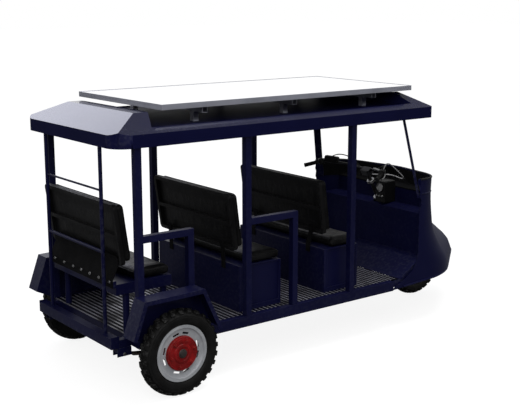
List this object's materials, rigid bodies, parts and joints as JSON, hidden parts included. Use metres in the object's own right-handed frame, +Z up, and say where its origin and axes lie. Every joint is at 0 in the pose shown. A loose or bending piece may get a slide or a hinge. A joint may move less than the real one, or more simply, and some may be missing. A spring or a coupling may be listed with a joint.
{
  "type": "electric rickshaw",
  "caption": "Open-sided three-wheeled electric rickshaw with passenger benches, a moulded roof with a solar panel, a flared front cowl and handlebar steering.",
  "frame": {"origin": "on the ground below the middle of the whole vehicle's box", "axes": "+X forward, +Y to the left, +Z up; the vehicle is symmetric about the plane Y = 0"},
  "size_m": [3.5374, 1.47, 1.84],
  "materials": {
    "navy_paint": "gloss",
    "mesh_floor": "satin",
    "panel_glass": "gloss",
    "aluminium": "satin",
    "battery_plastic": "matte",
    "black_plastic": "matte",
    "lamp_glass": "gloss",
    "black_steel": "satin",
    "motor_aluminium": "satin",
    "cast_iron": "rough",
    "seat_leather": "satin",
    "tyre": "matte",
    "rim_grey": "satin",
    "hub_red": "satin"
  },
  "bodies": {
    "vehicle": {"chassis_rails": "navy_paint", "cross_members": "navy_paint", "rear_beam": "navy_paint", "pillars": "navy_paint", "side_guards": "navy_paint", "rear_guard": "navy_paint", "roof_rails": "navy_paint", "roof_bows": "navy_paint", "roof_shell": "navy_paint", "fender_left": "navy_paint", "fender_right": "navy_paint", "rear_bench": "navy_paint", "seat_boxes": "navy_paint", "front_cowl": "navy_paint", "toe_board": "navy_paint", "windscreen_posts": "navy_paint", "steering_neck": "navy_paint", "floor_plate": "mesh_floor", "solar_panel": "panel_glass", "panel_bars": "aluminium", "battery_pack": "battery_plastic", "backrest_strips": "black_steel", "dashboard": "black_plastic", "headlamp": "lamp_glass", "rear_axle": "black_steel", "drive_motor": "motor_aluminium", "leaf_springs": "black_steel", "spring_hangers": "cast_iron", "backrest_shells": "black_plastic", "cushion_rear": "seat_leather", "backrest_pad_rear": "seat_leather", "cushion_middle": "seat_leather", "backrest_pad_middle": "seat_leather", "cushion_front": "seat_leather", "backrest_pad_front": "seat_leather", "switch_box": "black_plastic"},
    "steering": {"fork": "black_steel", "handlebar": "black_steel", "hand_controls": "black_plastic"},
    "wheel_rear_right": {"tyre_rear_right": "tyre", "rim_rear_right": "rim_grey", "hub_rear_right": "hub_red"},
    "wheel_rear_left": {"tyre_rear_left": "tyre", "rim_rear_left": "rim_grey", "hub_rear_left": "hub_red"},
    "wheel_front": {"tyre_front": "tyre", "rim_front": "rim_grey", "hub_front": "hub_red"}
  },
  "joints": [
    {"name": "steering_turn", "type": "hinge", "parent": "vehicle", "child": "steering", "pos_m": [1.34075, 0, 0.285], "axis": [-0.5, 0, 0.866], "range_deg": [-30, 30]},
    {"name": "front_wheel_spin", "type": "hinge", "parent": "steering", "child": "wheel_front", "pos_m": [1.43075, 0, 0.285], "axis": [0, 1, 0], "continuous": true},
    {"name": "rear_right_wheel_spin", "type": "hinge", "parent": "vehicle", "child": "wheel_rear_right", "pos_m": [-1.37925, -0.678, 0.285], "axis": [0, 1, 0], "continuous": true},
    {"name": "rear_left_wheel_spin", "type": "hinge", "parent": "vehicle", "child": "wheel_rear_left", "pos_m": [-1.37925, 0.678, 0.285], "axis": [0, 1, 0], "continuous": true}
  ]
}
